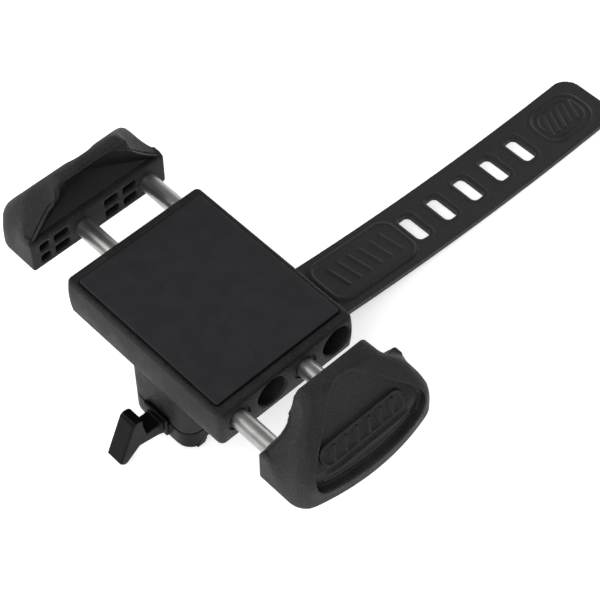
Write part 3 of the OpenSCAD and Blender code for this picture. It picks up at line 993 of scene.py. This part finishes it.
def jaw_block(name, grow=0.0):
    """Loft of the slices, close together where the shape changes quickly."""
    rings = [jaw_slice(JAW_BASE + lift, 0, grow) for lift in FOOT_LIFTS]
    rings.append(jaw_slice(LEDGE - 0.01, 0, grow))
    step = (LIP_TOP - 0.6 - LEDGE) / (SLICES - 1)
    rings += [jaw_slice(LEDGE + k * step, LIP_INNER, grow) for k in range(SLICES)]
    rings += [jaw_slice(LIP_TOP - drop, inner, grow) for drop, inner in CROWN]
    return loft(name, rings)


def pocket_cutter(inset):
    """Mouth for the phone's edge: a round channel that gets shallower towards its ends."""
    deepest, top, centre_z = 6.6, 12.9, 6.2
    end_low, end_high, closes_at = 40.0, 13.6, 9.0
    radius = 8.2 - inset
    rings = []
    for k in range(45):
        y = -22 + k
        ring = [(-4, LEDGE)]
        for i in range(25):
            z = LEDGE + (top - LEDGE) * i / 24
            end_r = end_low - (end_low - end_high) * clamp(z / closes_at)
            limit = deepest - inset - end_r + math.sqrt(max(end_r ** 2 - y * y, 0))
            x = -1.6 + math.sqrt(max(radius ** 2 - (z - centre_z) ** 2, 0))
            ring.append((max(min(x, limit), -1), z))
        ring.append((-4, top))
        rings.append([jaw_point(x, y, z) for x, z in ring])
    return loft("pocket", rings)


def rib_pocket_cutters():
    """Two rows of cored-out pockets in the inner face."""
    signs = ((-1, -1), (1, -1), (1, 1), (-1, 1))
    half_tall = 1.2
    cutters = []
    for z in (-7.3, -3.3):
        for y, width in ((17, 2.8), (11.8, 4.4), (-4, 4.2), (-9.8, 4.2)):
            outline = [(y + dy * width / 2, z + dz * half_tall) for dy, dz in signs]
            cutters.append(loft("rib_pocket", [[jaw_point(x, a, b) for a, b in outline] for x in (-1, 3)]))
    return cutters


print("slices in a jaw block:", len(FOOT_LIFTS) + 1 + SLICES + len(CROWN))

# %% [markdown]
# The scoop is a bell-shaped prism with a core taken out of it. The core is the block that
# the cut leaves standing, so its face is the scoop's floor: a fine step below the lip at the
# top, and more than two millimetres deep at the foot. A long plate with plain slanting bars
# lies on that floor, and two ridges run below it.

# %% Scoop
SCOOP_EDGE = 0.7
SCOOP_FALL = 1.7
SCOOP_HIGH = 12.5
SCOOP_REACH = 10.5


def scoop_depth(z):
    """Depth of the scoop's floor under the outer face, from the lip down."""
    return SCOOP_EDGE + SCOOP_FALL * clamp((SCOOP_HIGH - z) / SCOOP_REACH)


def bell_outline():
    """The scoop's outline in Y and Z, a bell with round lower corners."""
    half = [
        (0, 13.5), (3.2, 13.1), (6.8, 10.1), (9.8, 7.2), (13.2, 4.4), (16.2, 1.2),
        (17.0, -1.8), (16.2, -4.5), (13.4, -5.9), (0, -6.1),
    ]
    right = [(p.x, p.y) for p in smooth_path([(y, z, 0) for y, z in half])]
    left = [(-y, z) for y, z in reversed(right[1:-1])]
    return right + left


def floor_point(y, z, lift):
    """Point over the scoop's floor."""
    return jaw_point(outer_x(y, z) - scoop_depth(z) + lift, y, z)


def scoop_core():
    """What stays under the scoop's floor."""
    rings = []
    for k in range(28):
        z = -12 + k
        ring = [floor_point(-24 + 2 * i, z, 0) for i in range(25)]
        ring += [jaw_point(-5, 24, z), jaw_point(-5, -24, z)]
        rings.append(ring)
    return loft("scoop_core", rings)


def scoop_details():
    """Plate with a raised border and slanting bars, and two ridges below it."""
    centre_y, centre_z = -0.6, 1.5
    outline = [(centre_y + y, centre_z + 0.8 * x) for x, y in oval(0, 0, 25.0, 4.9, 2.2)]
    plate = loft("scoop_plate", [[floor_point(y, z, lift) for y, z in outline] for lift in (-1.0, 0.5)])
    parts = [plate, bead("plate_border", [floor_point(y, z, 0.55) for y, z in outline], 0.42)]
    for k in range(6):
        y = centre_y - 9.0 + 3.6 * k
        bar = [floor_point(y + 0.7 * t, centre_z + 1.3 * t, 0.75) for t in (-1, -0.5, 0, 0.5, 1)]
        parts.append(bead("scoop_bar", bar, 0.55, closed=False))
    for z, reach in ((-2.3, 12.5), (-4.1, 13.5)):
        ridge = [floor_point(centre_y - reach + 2 * reach * i / 16, z, 0.1) for i in range(17)]
        parts.append(bead("scoop_ridge", ridge, 0.42, closed=False))
    return parts


print("points in the scoop's outline:", len(bell_outline()))

# %% Both jaws
jaw = jaw_block("right_jaw_shell")
cut(jaw, pocket_cutter(0), *rib_pocket_cutters())
bell = [(y, PAD_TOP + z) for y, z in bell_outline()]
scoop = prism_x("scoop", bell, JAW_X + 1, JAW_X + JAW_DEPTH + 4)
cut(scoop, scoop_core())
cut(jaw, scoop)
soften(jaw, 0.24, 7)
join(jaw, *scoop_details())
for side in (-1, 1):
    horn = [jaw_point(x, side * 20.4, 0.25) for x in (0.9, 2, 3.2)]
    join(jaw, bead("ledge_horn", horn, 0.6, closed=False))
soften(jaw, 0.2, 2, 0.3)


def other_side(piece, name):
    """Copy of a right-hand piece, turned half round onto the left."""
    twin = piece.copy()
    twin.data = piece.data.copy()
    twin.name = name
    bpy.context.scene.collection.objects.link(twin)
    twin.data.transform(Matrix.Rotation(math.pi, 4, "Z"))
    return twin


left_jaw = other_side(jaw, "left_jaw_shell")
finish_piece(jaw, "right_jaw", "jaw_plastic", "right_jaw_body")
finish_piece(left_jaw, "left_jaw", "jaw_plastic", "left_jaw_body")

# %% [markdown]
# The liner is a thin rubber skin on the pocket's back wall. It is what is left when the
# pocket's form is trimmed to the jaw, a hair inside the shoulders, and a smaller pocket is
# taken out of it.

# %% Jaw liners
LINER_T = 1.0
liner = combine(pocket_cutter(0.02), [jaw_block("trim", -0.12)], "INTERSECT")
cut(liner, pocket_cutter(LINER_T))
liner.name = "right_grip_liner"
soften(liner, 0.2, 2, 0.4)
left_liner = other_side(liner, "left_grip_liner")
finish_piece(liner, "right_jaw", "liner_rubber", "right_jaw_liner")
finish_piece(left_liner, "left_jaw", "liner_rubber", "left_jaw_liner")

# %% [markdown]
# Each rod carries a compression spring between its stop washer and the guide wall. A spring
# is a wire along a helix whose end turns lie close together. A screw modifier would space
# all turns alike, so a loop works the path out. When the jaw is pulled out the washer
# squeezes the spring; the coil here keeps its resting length.

# %% Springs
SPRING_TURNS = 9
WIRE_R = 0.4
CLOSED_SHARE = 0.04


def spring_share(turn):
    """How far along the spring a turn lies, from 0 to 1, with close end turns."""
    open_turns = clamp((turn - 1) / (SPRING_TURNS - 2))
    closed_turns = min(turn, 1) + max(turn - SPRING_TURNS + 1, 0)
    return open_turns * (1 - 2 * CLOSED_SHARE) + closed_turns * CLOSED_SHARE


for side, sign in (("right", 1), ("left", -1)):
    for rank in ("outer", "inner"):
        node = f"{side}_spring_{rank}"
        low, high = box_mm(node)
        y = (low.y + high.y) / 2
        z = (low.z + high.z) / 2
        reach = (high.z - low.z) / 2 - WIRE_R
        steps = SPRING_TURNS * 20
        path = []
        for k in range(steps + 1):
            turn = SPRING_TURNS * k / steps
            x = low.x + WIRE_R + (high.x - low.x - 2 * WIRE_R) * spring_share(turn)
            angle = 2 * math.pi * turn
            path.append((x, y + reach * math.cos(angle), z + reach * math.sin(angle)))
        coil = bead(f"{node}_coil", path, WIRE_R, 10, closed=False)
        finish_piece(coil, "head", "spring_steel", node)
        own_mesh(coil)

# %% [markdown]
# The rods, washers, screws and the pin already have their true shape, so they keep the
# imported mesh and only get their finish.

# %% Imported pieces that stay
slots = {row["node"]: row["material_slot"] for row in frame["record"]["subparts"]}
kept = 0
for node, item in frame["nodes"].items():
    if item.hide_render:
        continue
    item.data.materials.clear()
    item.data.materials.append(MATERIALS[slots[node]])
    kept += 1
print("packed pieces with a new finish:", kept)

# %% [markdown]
# The table is a plain pale sheet that glows a little, as a light table does, so the shadows
# on it stay faint.

# %% Table
FLOOR_HALF = 3.0
FLOOR_GAP = 0.3 * MM
floor_z = cad_box[0][2] - FLOOR_GAP


def pale_floor():
    """Large pale sheet just under the mount."""
    floor_mesh = bpy.data.meshes.new("floor")
    corners = [(a * FLOOR_HALF, b * FLOOR_HALF, floor_z) for a, b in ((-1, -1), (1, -1), (1, 1), (-1, 1))]
    floor_mesh.from_pydata(corners, [], [(0, 1, 2, 3)])
    floor = bpy.data.objects.new("floor", floor_mesh)
    bpy.context.scene.collection.objects.link(floor)
    material, wires, shader = new_material("pale_floor")
    noise = wires.add(
        "ShaderNodeTexNoise",
        {"Vector": wires.place()},
        values={"Scale": 40.0, "Detail": 4.0},
    )
    colour = mix_colours(wires, noise.outputs[0], (0.88, 0.88, 0.88), (0.92, 0.92, 0.92))
    wires.tree.links.new(colour, shader.inputs["Base Color"])
    shader.inputs["Roughness"].default_value = 0.9
    shader.inputs["Emission Color"].default_value = (1, 1, 1, 1)
    shader.inputs["Emission Strength"].default_value = 0.55
    floor_mesh.materials.append(material)
    return floor


pale_floor()
print("table at", round(floor_z / MM, 1), "mm")
